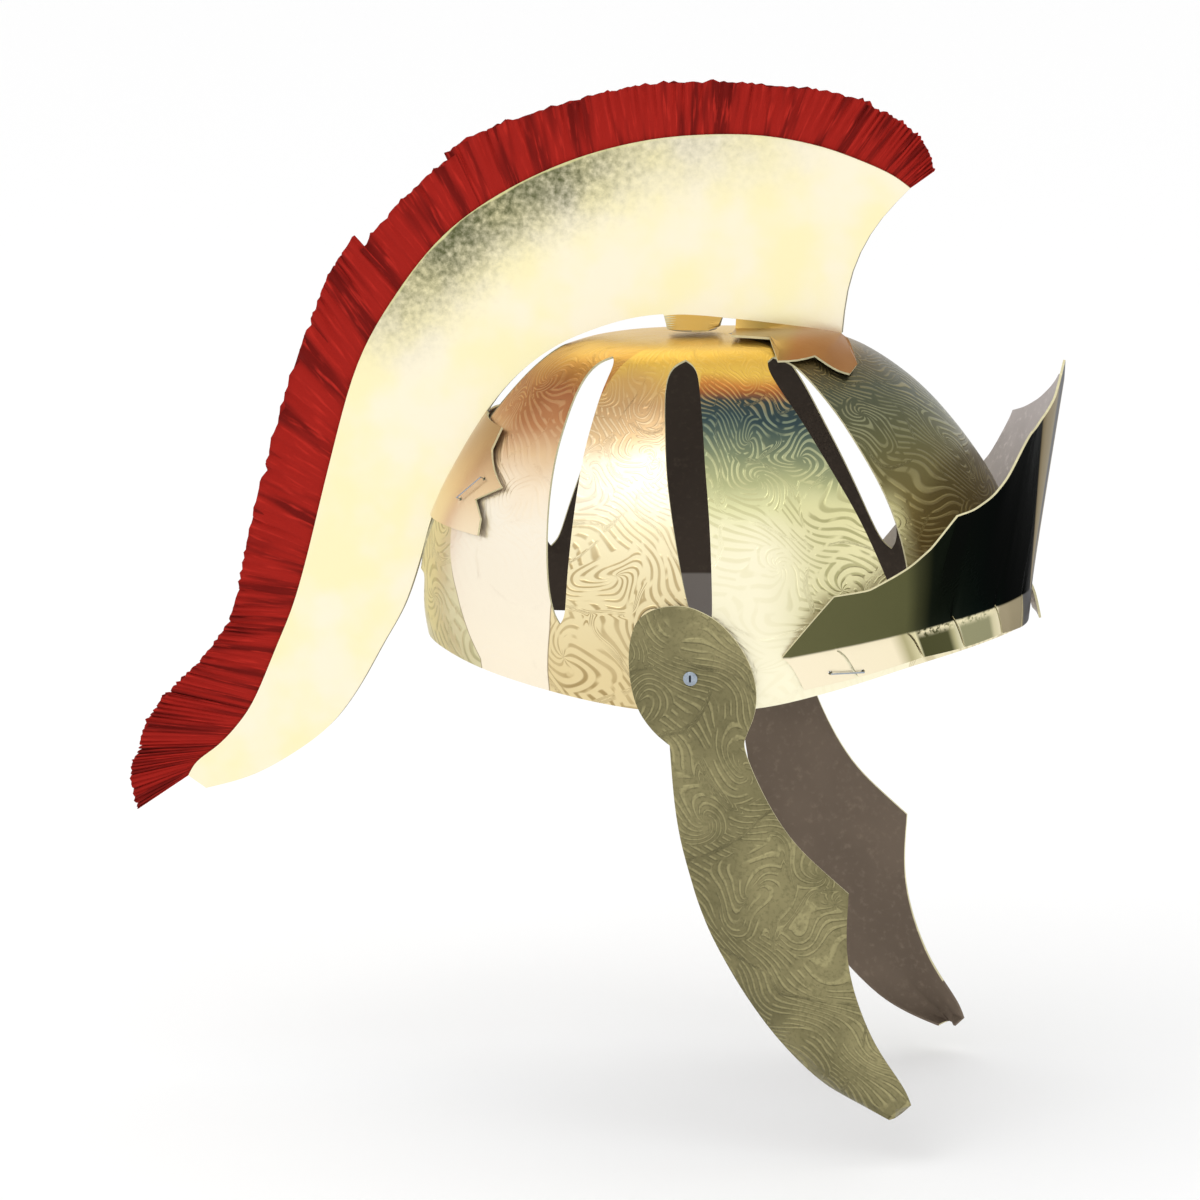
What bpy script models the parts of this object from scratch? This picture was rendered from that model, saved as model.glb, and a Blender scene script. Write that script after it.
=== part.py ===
# A Roman helmet of gold foil card, worn as a costume hat, with a pleated paper crest.
import math
import bpy
import bmesh
from mathutils import Matrix, Vector

# Sizes in metres. +X is the front, +Y the wearer's left and +Z up. The origin is in the
# middle of the head opening, level with the rim at the back.
CARD = 0.0008
GAP = 0.0004
SHARP_ANGLE = 35.0
CROWN_LENGTH = 0.212
CROWN_WIDTH = 0.157
CROWN_HEIGHT = 0.1045
CROWN_TILT = 0.030
GORE_ROUND = 0.8
GORE_COLUMNS = 4
FRONT_COLUMNS = 10

# One row for each level of the crown, from the rim to the top: height as a share of the
# crown's height, reach to the back, front and side as shares of its half length and half
# width, and how far a slot is open there as a share of its own width.
CROWN_LEVELS = [
    # height, back, front, side, slot
    (0.000, 0.985, 0.955, 0.988, 0.00), (0.080, 1.000, 0.965, 1.000, 0.00),
    (0.160, 0.998, 0.962, 0.996, 0.00), (0.215, 0.992, 0.953, 0.986, 0.00),
    (0.235, 0.989, 0.949, 0.981, 0.32), (0.270, 0.984, 0.942, 0.973, 0.52),
    (0.330, 0.971, 0.925, 0.957, 0.67), (0.420, 0.937, 0.890, 0.926, 0.81),
    (0.520, 0.893, 0.842, 0.880, 0.93), (0.620, 0.838, 0.777, 0.824, 1.00),
    (0.710, 0.782, 0.710, 0.760, 1.00), (0.790, 0.722, 0.644, 0.690, 0.98),
    (0.860, 0.664, 0.568, 0.612, 0.94), (0.910, 0.612, 0.503, 0.542, 0.86),
    (0.940, 0.572, 0.457, 0.490, 0.72), (0.958, 0.542, 0.424, 0.452, 0.44),
    (0.968, 0.520, 0.404, 0.425, 0.00), (0.985, 0.470, 0.360, 0.370, 0.00),
    (0.994, 0.420, 0.315, 0.300, 0.00), (0.999, 0.280, 0.230, 0.180, 0.00),
    (1.000, 0.100, 0.080, 0.060, 0.00),
]
# The slots between the gores, by angle from the front towards the right side, at the rim
# and at the top, as the gores lean. Bend is how many degrees less the angle is at the
# slot's middle than on a straight line.
SLOTS = [
    # rim angle, top angle, width, bend
    (46.0, 61.2, 0.0134, 5.5), (83.6, 93.2, 0.0132, 0.4), (111.3, 126.4, 0.0112, 1.2),
    (166.0, 179.0, 0.0140, 0.0), (226.5, 228.0, 0.0138, 0.0), (263.5, 264.5, 0.0124, 0.0),
    (300.0, 292.4, 0.0157, 0.9),
]
# The share of the crown's height at which a slot's bend is greatest.
SLOT_MIDDLE = 0.62
# The rim's height as a share of the crown's, by angle from the front on either side.
RIM = [
    # angle, height
    (0.0, 0.0766), (19.0, 0.0820), (43.0, 0.0420), (57.0, -0.0160), (76.0, -0.0900),
    (98.0, -0.1000), (118.0, -0.0622), (137.0, -0.0335), (160.0, 0.0096), (180.0, 0.0191),
]

# The visor, by angle from the front on either side: the height of its fold as a share of
# the crown's, and how far its upper edge rises above the fold and stands out from it, as
# shares of the most that it does. The left half stands higher, as the card is twisted.
VISOR_RISE = 0.0785
VISOR_OUT = 0.0224
VISOR_ROWS = [
    # angle, fold, right rise, out, left rise, out
    (0.0, 0.1962, 1.000, 0.500, 1.000, 0.500), (5.0, 0.1981, 0.925, 0.500, 0.900, 0.460),
    (10.0, 0.1990, 0.855, 0.527, 0.865, 0.460), (18.0, 0.1971, 0.812, 0.647, 0.870, 0.560),
    (25.0, 0.1952, 0.768, 0.826, 0.852, 0.740), (27.5, 0.1933, 0.713, 0.848, 0.820, 0.800),
    (30.5, 0.1914, 0.613, 0.844, 0.778, 0.844), (33.5, 0.1885, 0.541, 0.795, 0.722, 0.795),
    (38.0, 0.1818, 0.502, 0.826, 0.677, 0.795), (42.8, 0.1627, 0.520, 1.000, 0.668, 0.905),
    (43.4, 0.1608, 0.495, 0.946, 0.619, 0.860), (46.0, 0.1502, 0.401, 0.781, 0.499, 0.735),
    (50.0, 0.1359, 0.321, 0.638, 0.390, 0.600), (56.5, 0.1148, 0.262, 0.505, 0.300, 0.480),
    (62.5, 0.0995, 0.261, 0.446, 0.270, 0.446), (67.5, 0.0909, 0.110, 0.179, 0.110, 0.179),
    (71.0, 0.0823, 0.008, 0.000, 0.008, 0.000),
]
VISOR_END = 71
VISOR_COLUMN = 8
# The slits between the visor's tabs, by angle, with the slant of each towards the rim, and
# how far the tabs end above the rim at the front and at the visor's ends.
VISOR_SLITS = [8.5, 22.0, 35.4, 46.4, 60.6]
SLIT_WIDTH = 0.0008
SLIT_SLANT = 4.0
# How much further off the crown the tabs lie, as they are straight between their folds.
VISOR_LIFT = 0.0003
TAB_LIFT = 0.0012
TAB_LIFT_END = 0.0036
# One tab on the left isn't pressed flat: the slits on either side of it, and how far its
# end stands out.
LOOSE_TAB = (0, 1)
LOOSE_TAB_OUT = 0.0042
# How much further out than the visor's tabs the crest's tabs lie.
TAB_CLEAR = 0.0006

# The crest's sections from its front tip to the tail, in the middle plane: the plate's
# inner edge, its outer edge and the fringe's edge, as shares of how far the crest reaches
# behind the origin and above it. Bow is how far a section's middle is set back.
CREST_REACH = 0.2105
CREST_HEIGHT = 0.1905
CREST_ROWS = [
    # inner x, z, plate x, z, fringe x, z, bow
    (0.1853, 0.5559, 0.2945, 0.8178, 0.3340, 0.8504, 0.0341),
    (0.1639, 0.5596, 0.2660, 0.8399, 0.3159, 0.9029, 0.0157),
    (0.1330, 0.5638, 0.2185, 0.8625, 0.2708, 0.9428, 0.0),
    (0.0760, 0.5701, 0.1473, 0.8882, 0.1948, 0.9816, 0.0),
    (0.0143, 0.5764, 0.0523, 0.9045, 0.0665, 0.9963, 0.0),
    (-0.0570, 0.5806, -0.0570, 0.9018, -0.0546, 1.0000, 0.0),
    (-0.1283, 0.5785, -0.1568, 0.8850, -0.1710, 0.9858, 0.0),
    (-0.2043, 0.5564, -0.2660, 0.8472, -0.2850, 0.9501, 0.0),
    (-0.2874, 0.5134, -0.3753, 0.7864, -0.4157, 0.8966, 0.0),
    (-0.3563, 0.4504, -0.4656, 0.7108, -0.5273, 0.8115, 0.0),
    (-0.4114, 0.3669, -0.5416, 0.6058, -0.6223, 0.7013, 0.0),
    (-0.4575, 0.2751, -0.6081, 0.4756, -0.6793, 0.5879, 0.0),
    (-0.4893, 0.1837, -0.6556, 0.2913, -0.7506, 0.3570, 0.0),
    (-0.5126, 0.0971, -0.6912, 0.1333, -0.7933, 0.1759, 0.0),
    (-0.5344, 0.0315, -0.7173, 0.0325, -0.8195, 0.0367, 0.0),
    (-0.5677, -0.0341, -0.7458, -0.0451, -0.8504, -0.0367, 0.0),
    (-0.6128, -0.1234, -0.7829, -0.1428, -0.9121, -0.1129, 0.0),
    (-0.6603, -0.1916, -0.8124, -0.1932, -0.9644, -0.1759, 0.0),
    (-0.7268, -0.2478, -0.8456, -0.2331, -0.9881, -0.2467, 0.0),
    (-0.7933, -0.2887, -0.8817, -0.2646, -1.0000, -0.2966, 0.0),
    (-0.8670, -0.3139, -0.8969, -0.2919, -0.9881, -0.3622, 0.0),
]
CREST_STEPS = 3
# How far the crest's inner edge stays off the crown, and above which share of the crown's
# height it lies on top.
CREST_LIFT = 0.0014
CREST_TURN = 0.938
# The crest's folded tabs, from the front to the back of each: how far along the tab, and
# the outer edge's place on the crown, as shares of its half length and half width or as a
# share of its height and an angle.
FRONT_TAB = [
    # share, x, aside
    (0.00, 0.4000, 0.0900), (0.08, 0.4480, 0.2450), (0.18, 0.4330, 0.3320), (0.30, 0.3840, 0.3560),
    (0.45, 0.3220, 0.3200), (0.58, 0.2560, 0.4050), (0.66, 0.1950, 0.4200), (0.70, 0.1790, 0.2500),
    (1.00, 0.0377, 0.2102),
]
TOP_TAB = [
    # share, x, aside
    (0.00, -0.0330, 0.0382), (0.25, -0.0519, 0.0828), (0.50, -0.1038, 0.0994),
    (0.75, -0.1604, 0.0828), (1.00, -0.1887, 0.0382),
]
REAR_TAB = [
    # share, height, angle
    (0.00, 0.7081, 151.0), (0.10, 0.6699, 150.0), (0.26, 0.6029, 149.0), (0.36, 0.5837, 143.0),
    (0.44, 0.5646, 137.5), (0.52, 0.5359, 137.8), (0.66, 0.4928, 146.0), (0.78, 0.4593, 143.0),
    (0.92, 0.4067, 138.0), (1.00, 0.3876, 140.0),
]
# The first and last samples of the crest's inner edge that each tab folds from.
TAB_SPANS = {"front": (1, 12), "top": (13, 17), "rear": (29, 35)}
TAB_COLUMNS = 7
# The left front tab is cut shorter than the right one.
LEFT_TAB = 0.72
FRINGE_THICK = 0.0010
FRINGE_ROOT = 0.012
# How much of its depth the fringe has along the crest, as its lengths overlap in steps.
FRINGE_STEPS = [
    # section, share
    (0.0, 1.0), (8.42, 1.0), (8.46, 0.90), (9.0, 0.97), (9.35, 0.93), (9.5, 0.86), (9.93, 0.82),
    (9.97, 1.0), (20.0, 1.0),
]
PLEATS = 78
PLEAT_SWAY = 0.0020
PLEAT_TOOTH = 0.0016

# The cheek guard's outline from its pivot, from the top of its head down, as shares of its
# length and of how far its tip reaches forward. Below GUARD_NECK it is bowed outwards.
GUARD_LENGTH = 0.1711
GUARD_REACH = 0.0732
GUARD_NECK = 0.152
GUARD_ROWS = [
    # height, rear, front
    (0.1426, -0.0888, -0.0205), (0.1356, -0.1626, 0.0342), (0.1198, -0.2268, 0.1093),
    (0.0982, -0.2623, 0.1708), (0.0503, -0.2869, 0.2568), (-0.0105, -0.2814, 0.3060),
    (-0.0666, -0.2486, 0.2964), (-0.0994, -0.1940, 0.2637), (-0.1192, -0.1503, 0.2432),
    (-0.1356, -0.0984, 0.2404), (-0.1888, -0.0902, 0.2855), (-0.2630, -0.0765, 0.3716),
    (-0.3255, -0.0519, 0.4727), (-0.3717, -0.0246, 0.5915), (-0.4185, 0.0068, 0.7186),
    (-0.4383, 0.0191, 0.7158), (-0.5044, 0.0751, 0.7049), (-0.5646, 0.1503, 0.7131),
    (-0.6330, 0.2432, 0.7500), (-0.7124, 0.3798, 0.8224), (-0.7656, 0.5000, 0.9016),
    (-0.8106, 0.6216, 0.9768), (-0.8404, 0.7678, 1.0000), (-0.8574, 0.8811, 0.9563),
]
# How far the guard's middle would stand out, were it bowed for its whole length below the neck.
GUARD_BOW = 0.0092
GUARD_STANDOFF = 0.0021
# Each guard's side as a sign, its pivot's place as shares of the crown's half length and
# its height, and in degrees the lean of its tip inwards and its turn forwards.
GUARD_SET = [
    # name, side, x, height, lean, turn
    ("right", -1, 0.0377, 0.0191, 3.0, 0.0),
    ("left", 1, -0.0050, -0.0500, 1.5, 0.2),
]
# The rivets that the guards turn on, as radii, with the rise of the domed head.
RIVET_SHAFT = 0.0014
RIVET_HEAD = 0.0024
RIVET_RISE = 0.0008
RIVET_HOLE = 0.0018
# The staples' wire across, the radius of the holes for it, and how long its tips are.
WIRE = 0.0005
STAPLE_HOLE = 0.0007
STAPLE_TIP = 0.0030
# How far the cutters for the holes reach, right through a card and its neighbour.
CUT_REACH = 0.0100
# The staples that hold the visor's ends and the crest's rear tabs to the crown, by angle
# from the front and share of the crown's height of their two legs.
STAPLES = [
    # name, piece, angle, height, angle, height
    ("visor_staple", "visor", 62.0, 0.0335, 55.5, 0.0335),
    ("crest_staple", "crest_plate", 152.5, 0.4785, 146.0, 0.5550),
]


def between(rows, value, column):
    """The column's value where the first column equals value, in straight steps."""
    for low, high in zip(rows, rows[1:]):
        if value <= high[0]:
            share = (value - low[0]) / (high[0] - low[0])
            return low[column] + share * (high[column] - low[column])
    return rows[-1][column]


def smooth_rows(rows, steps):
    """Rows with steps - 1 more between each pair, on a smooth curve through them all."""
    out = []
    last = len(rows) - 1
    for i in range(last):
        a, b, c, d = (rows[max(i - 1, 0)], rows[i], rows[i + 1], rows[min(i + 2, last)])
        for k in range(steps):
            t = k / steps
            out.append(tuple(
                0.5 * (2 * q + (r - p) * t + (2 * p - 5 * q + 4 * r - s) * t * t
                       + (3 * q - p - 3 * r + s) * t ** 3)
                for p, q, r, s in zip(a, b, c, d)))
    out.append(tuple(rows[last]))
    return out


def fold_angle(angle):
    """The angle from the front on either side, 0 to 180."""
    angle = angle % 360.0
    return 360.0 - angle if angle > 180.0 else angle


def rim_height(angle):
    return between(RIM, fold_angle(angle), 1) * CROWN_HEIGHT


def level_at(height):
    """The crown's level at a share of its height."""
    return tuple(between(CROWN_LEVELS, height, column) for column in range(5))


def ellipse(angle, level):
    """A point on the crown's rounded outline at a level, seen from above."""
    _, back, front, side, _ = level
    a = math.radians(angle)
    half = CROWN_LENGTH / 2
    x = half * ((front - back) + (front + back) * math.cos(a)) / 2
    return Vector((x, -math.sin(a) * CROWN_WIDTH / 2 * side))


def slot_angle(index, height):
    """A slot's angle at a share of the crown's height; the last slot is followed by the first."""
    low, high, _, bend = SLOTS[index % len(SLOTS)]
    drawn = bend * math.sin(math.pi * min(height / SLOT_MIDDLE / 2, 1.0))
    return low + (high - low) * height - drawn + 360.0 * (index // len(SLOTS))


def slot_edges(index, level):
    """The two angles between which a slot is open."""
    angle = slot_angle(index, level[0])
    ahead, behind = ellipse(angle - 0.5, level), ellipse(angle + 0.5, level)
    half = SLOTS[index % len(SLOTS)][2] * level[4] / 2 / (behind - ahead).length
    return angle - half, angle + half


def gore_point(index, share, level):
    """A point on the gore after slot index, share of the way across; the front one is round."""
    start = slot_edges(index, level)[1]
    end = slot_edges(index + 1, level)[0]
    angle = start + share * (end - start)
    flat = ellipse(angle, level)
    if (index + 1) % len(SLOTS):
        chord = ellipse(start, level).lerp(ellipse(end, level), share)
        flat = chord.lerp(flat, GORE_ROUND)
    rim = rim_height(angle)
    top = CROWN_HEIGHT + CROWN_TILT * flat.x
    return Vector((flat.x, flat.y, rim + level[0] * (top - rim)))


def crown_point(angle, height):
    """The crown's outer surface at an angle and a share of its height, straight over slots."""
    level = level_at(height)
    first = slot_edges(0, level)[0]
    angle = (angle - first) % 360.0 + first
    for i in range(len(SLOTS)):
        left, start = slot_edges(i, level)
        end = slot_edges(i + 1, level)[0]
        if angle < start:
            return gore_point(i - 1, 1.0, level).lerp(
                gore_point(i, 0.0, level), (angle - left) / (start - left))
        if angle <= end:
            return gore_point(i, (angle - start) / (end - start), level)
    return gore_point(len(SLOTS) - 1, 1.0, level)


def crown_normal(angle, height):
    side = crown_point(angle + 0.5, height) - crown_point(angle - 0.5, height)
    rise = crown_point(angle, min(height + 0.01, 1.0)) - crown_point(angle, max(height - 0.01, 0.0))
    normal = rise.cross(side).normalized()
    return normal if normal.dot(crown_point(angle, height)) > 0 else -normal


def crown_at(angle, z, lift):
    """A point lift outside the crown at an angle and a height above the origin."""
    low, high = 0.0, 1.0
    for _ in range(24):
        height = (low + high) / 2
        if crown_point(angle, height).z < z:
            low = height
        else:
            high = height
    return crown_point(angle, height) + crown_normal(angle, max(height, 0.02)) * lift


def crown_over(x, y, lift):
    """A point lift outside the crown's rounded outline, over x and y near its top."""
    low, high = 0.3, 1.0
    for _ in range(24):
        height = (low + high) / 2
        level = level_at(height)
        half = CROWN_LENGTH / 2
        along = (x - half * (level[2] - level[1]) / 2) / (half * (level[1] + level[2]) / 2)
        aside = y / (CROWN_WIDTH / 2 * level[3])
        if along ** 2 + aside ** 2 < 1.0:
            low = height
        else:
            high = height
    rim = rim_height(math.degrees(math.atan2(-aside, along)))
    return Vector((x, y, rim + height * (CROWN_HEIGHT + CROWN_TILT * x - rim) + lift))


def material(name, colour, roughness, metallic):
    found = bpy.data.materials.get(name)
    if found:
        return found
    mat = bpy.data.materials.new(name)
    mat.use_nodes = True
    node = mat.node_tree.nodes["Principled BSDF"]
    node.inputs["Base Color"].default_value = (*colour, 1.0)
    node.inputs["Roughness"].default_value = roughness
    node.inputs["Metallic"].default_value = metallic
    return mat


MATERIALS = {
    "foil_swirl": ((0.80, 0.66, 0.34), 0.35, 0.9),
    "foil_plain": ((0.86, 0.74, 0.42), 0.25, 0.9),
    "crepe_red": ((0.45, 0.04, 0.03), 0.85, 0.0),
    "steel": ((0.60, 0.64, 0.68), 0.3, 1.0),
}


def add_object(name, bm, slot):
    bmesh.ops.recalc_face_normals(bm, faces=bm.faces)
    mesh = bpy.data.meshes.new(name)
    bm.to_mesh(mesh)
    bm.free()
    obj = bpy.data.objects.new(name, mesh)
    bpy.context.scene.collection.objects.link(obj)
    obj.data.materials.append(material(slot, *MATERIALS[slot]))
    for poly in mesh.polygons:
        poly.use_smooth = True
    mesh.set_sharp_from_angle(angle=math.radians(SHARP_ANGLE))
    return obj


def sheet(name, rows, slot, skip=(), thick=CARD, welds=0.00002):
    """Rows of points as one sheet; faces whose row and column are in skip are left out."""
    bm = bmesh.new()
    grid = [[bm.verts.new(p) for p in row] for row in rows]
    for i in range(len(grid) - 1):
        for j in range(len(grid[i]) - 1):
            if (i, j) not in skip:
                bm.faces.new((grid[i][j], grid[i][j + 1], grid[i + 1][j + 1], grid[i + 1][j]))
    bmesh.ops.remove_doubles(bm, verts=bm.verts, dist=welds)
    loose = [v for v in bm.verts if not v.link_faces]
    bmesh.ops.delete(bm, geom=loose, context="VERTS")
    obj = add_object(name, bm, slot)
    solid = obj.modifiers.new("thickness", "SOLIDIFY")
    solid.thickness = thick
    solid.offset = 0.0
    solid.use_even_offset = True
    return obj


def cut(obj, name, location, axis, radius, sides=20):
    """A round hole through obj."""
    bpy.ops.mesh.primitive_cylinder_add(vertices=sides, radius=radius, depth=CUT_REACH)
    cutter = bpy.context.object
    cutter.name = name
    cutter.data.transform(axis.to_track_quat("Z", "Y").to_matrix().to_4x4())
    cutter.data.transform(Matrix.Translation(location))
    cutter.hide_render = True
    cutter.display_type = "WIRE"
    hole = obj.modifiers.new(name, "BOOLEAN")
    hole.operation = "DIFFERENCE"
    hole.solver = "EXACT"
    hole.object = cutter


def build_crown():
    rows = []
    open_faces = set()
    for i, level in enumerate(CROWN_LEVELS):
        row = []
        for gore in range(len(SLOTS)):
            columns = FRONT_COLUMNS if gore + 1 == len(SLOTS) else GORE_COLUMNS
            row += [gore_point(gore, k / columns, level) for k in range(columns + 1)]
            open_faces.add((i, len(row) - 1))
        rows.append(row)
    bm = bmesh.new()
    grid = [[bm.verts.new(p) for p in row] for row in rows]
    width = len(grid[0])
    for i in range(len(grid) - 1):
        for j in range(width):
            if (i, j) not in open_faces:
                k = (j + 1) % width
                bm.faces.new((grid[i][j], grid[i][k], grid[i + 1][k], grid[i + 1][j]))
    bm.faces.new(grid[-1])
    bmesh.ops.remove_doubles(bm, verts=bm.verts, dist=0.00002)
    crown = add_object("crown", bm, "foil_swirl")
    solid = crown.modifiers.new("thickness", "SOLIDIFY")
    solid.thickness = CARD
    solid.offset = -1.0
    solid.use_even_offset = True
    return crown


def visor_columns():
    """Angles across the visor, each with the side of the slit that it bounds."""
    steps = VISOR_END // VISOR_COLUMN
    marks = {k * VISOR_COLUMN for k in range(-steps, steps + 1)}
    for angle in [row[0] for row in VISOR_ROWS]:
        marks |= {angle, -angle}
    half = math.degrees(SLIT_WIDTH / 2 / 0.09)
    for slit in VISOR_SLITS:
        for side in (-1, 1):
            marks = {m for m in marks if abs(m - side * slit) > 1.2}
            marks |= {side * slit - half, side * slit + half}
    return sorted(marks), half


def build_visor():
    columns, half = visor_columns()
    rows = [[] for _ in range(5)]
    skip = set()
    for j, angle in enumerate(columns):
        side = 1.0 if angle >= 0 else -1.0
        wide = abs(angle)
        fold = between(VISOR_ROWS, wide, 1) * CROWN_HEIGHT
        column = 2 if side > 0 else 4
        rise = between(VISOR_ROWS, wide, column) * VISOR_RISE
        out = between(VISOR_ROWS, wide, column + 1) * VISOR_OUT
        slant = SLIT_SLANT * min(wide / 20.0, 1.0)
        low_angle = angle - side * slant
        rim = rim_height(low_angle)
        lift = GAP + CARD / 2 + VISOR_LIFT
        end = rim + TAB_LIFT + (TAB_LIFT_END - TAB_LIFT) * (wide / VISOR_END) ** 2
        loose = 0.0
        if side < 0 and VISOR_SLITS[LOOSE_TAB[0]] < wide < VISOR_SLITS[LOOSE_TAB[1]]:
            loose = LOOSE_TAB_OUT
        low = crown_at(low_angle, end, lift + loose)
        middle = crown_at(angle - side * slant * 0.4, end + 0.6 * (fold - rim), lift + loose * 0.4)
        top = crown_at(angle, fold, lift)
        rows[0].append(low)
        rows[1].append(middle)
        rows[2].append(top)
        a = math.radians(angle)
        outward = Vector((math.cos(a) / CROWN_LENGTH, -math.sin(a) / CROWN_WIDTH, 0.0)).normalized()
        for k, share in enumerate((0.5, 1.0)):
            rows[3 + k].append(top + outward * out * share + Vector((0, 0, rise * share)))
        for slit in VISOR_SLITS:
            if abs(wide - slit) < half * 1.01 and j + 1 < len(columns):
                if abs(abs(columns[j + 1]) - slit) < half * 1.01:
                    skip |= {(0, j), (1, j)}
    return sheet("visor", rows, "foil_plain", skip)


def crest_rows():
    """The crest's sections in metres, their inner ends kept clear of the crown."""
    out = []
    sizes = (CREST_REACH, CREST_HEIGHT) * 3 + (CREST_HEIGHT,)
    for row in smooth_rows(CREST_ROWS, CREST_STEPS):
        x, z, *rest = (share * size for share, size in zip(row, sizes))
        if z > CREST_TURN * CROWN_HEIGHT:
            z = max(z, crown_over(x, 0.0, CREST_LIFT).z)
        elif z > 0.0:
            x = min(x, crown_at(180.0, z, CREST_LIFT).x)
        out.append((x, z, *rest))
    return out


def crest_plate_rows(y):
    """Points across the plate at each section, with more where its front edge is bowed."""
    out = []
    for ix, iz, px, pz, _, _, bow in crest_rows():
        inner = Vector((ix, y, iz))
        outer = Vector((px, y, pz))
        along = Vector((pz - iz, 0, ix - px)).normalized()
        line = []
        parts = 4 if bow > 0.0 else 1
        for k in range(parts + 1):
            t = k / parts
            line.append(inner.lerp(outer, t) - along * bow * 4 * t * (1 - t))
        out.append(line)
    return out


def tab_points(kind, side, share, edge):
    """Points from the crest's inner edge out over the crown, along one line of a tab."""
    lift = GAP + CARD / 2 + TAB_CLEAR
    points = []
    for k in range(1, TAB_COLUMNS + 1):
        t = k / TAB_COLUMNS
        if kind == "rear":
            height = between(REAR_TAB, share, 1) * CROWN_HEIGHT
            angle = 178.5 + (between(REAR_TAB, share, 2) - 178.5) * t
            point = crown_at(angle if side < 0 else 360.0 - angle, edge.z + (height - edge.z) * t, lift)
        else:
            rows = FRONT_TAB if kind == "front" else TOP_TAB
            reach = between(rows, share, 1) * CROWN_LENGTH / 2
            if kind == "front" and side > 0:
                reach *= LEFT_TAB
            x = edge.x + (reach - edge.x) * t
            y = abs(edge.y) + (between(rows, share, 2) * CROWN_WIDTH / 2 - abs(edge.y)) * t
            point = crown_over(x, side * y, lift + TAB_CLEAR)
            if kind == "top":
                point.z = max(point.z, edge.z + (point.z - edge.z) * t)
        points.append(point)
    return points


def build_crest_plate(name, side):
    offset = FRINGE_THICK / 2 + GAP + CARD / 2
    rows = crest_plate_rows(side * offset)
    bm = bmesh.new()
    grid = [[bm.verts.new(p) for p in row] for row in rows]
    for low, high in zip(grid, grid[1:]):
        if len(low) > len(high):
            bm.faces.new((*low, *reversed(high)))
            continue
        for k in range(len(low) - 1):
            bm.faces.new((low[k], low[k + 1], high[k + 1], high[k]))
    for kind, (first, last) in TAB_SPANS.items():
        before = None
        for n in range(first, last + 1):
            edge = grid[n][0]
            share = (n - first) / (last - first)
            line = [edge] + [bm.verts.new(p) for p in tab_points(kind, side, share, edge.co)]
            if before:
                for k in range(TAB_COLUMNS):
                    bm.faces.new((before[k], before[k + 1], line[k + 1], line[k]))
            before = line
    plate = add_object("crest_plate_" + name, bm, "foil_plain")
    solid = plate.modifiers.new("thickness", "SOLIDIFY")
    solid.thickness = CARD
    solid.offset = 0.0
    return plate


def build_fringe():
    stations = crest_rows()
    count = PLEATS * 2
    rows = []
    for n in range(count + 1):
        at = n / count * (len(stations) - 1)
        i = min(int(at), len(stations) - 2)
        low, high = stations[i], stations[i + 1]
        ix, iz, px, pz, fx, fz, bow = (a + (at - i) * (b - a) for a, b in zip(low, high))
        edge = Vector((px, 0, pz))
        deep = between(FRINGE_STEPS, at / CREST_STEPS, 1)
        tip = edge + (Vector((fx, 0, fz)) - edge) * deep
        inner = Vector((ix, 0, iz)) - edge
        deep = min(FRINGE_ROOT, inner.length * 0.6) * min(0.2 + at / 8, 1.0)
        root = edge + inner.normalized() * deep
        tip = tip - (tip - edge).normalized() * (PLEAT_TOOTH if n % 2 else 0.0)
        sway = Vector((0, PLEAT_SWAY * (1 if n % 2 else -1), 0))
        rows.append([root, edge, tip + sway])
    fringe = sheet("fringe", rows, "crepe_red", thick=FRINGE_THICK)
    fringe.modifiers["thickness"].use_even_offset = False
    return fringe


def guard_place(side, x, height, lean):
    """The cheek guard's pivot on the crown, with the ways up the guard and out of it."""
    angle = math.degrees(math.acos(x))
    if side > 0:
        angle = 360.0 - angle
    surface = crown_at(angle, height * CROWN_HEIGHT, 0.0)
    outward = Vector((0, side, 0))
    tilt = math.radians(lean)
    up = Vector((0, math.sin(tilt) * side, math.cos(tilt)))
    normal = Vector((0, math.cos(tilt) * side, -math.sin(tilt)))
    return surface + outward * GUARD_STANDOFF, up, normal


def build_guard(name, side, x, height, lean, turn):
    origin, up, normal = guard_place(side, x, height, lean)
    turned = Matrix.Rotation(math.radians(turn), 3, Vector((0.0, -1.0, 0.0)))
    rows = []
    for height, rear, front in GUARD_ROWS:
        row = []
        depth = max(-height - GUARD_NECK, 0.0) / (1.0 - GUARD_NECK)
        for k in range(5):
            t = k / 4
            across = (rear + (front - rear) * t) * GUARD_REACH
            bow = GUARD_BOW * depth * (1 - (2 * t - 1) ** 2)
            row.append(turned @ (Vector((across, 0, 0)) + up * height * GUARD_LENGTH + normal * bow))
        rows.append(row)
    guard = sheet("cheek_guard_" + name, rows, "foil_swirl")
    guard.location = origin
    cut(guard, "guard_hole_" + name, origin, normal, RIVET_HOLE)
    return origin, normal


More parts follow.
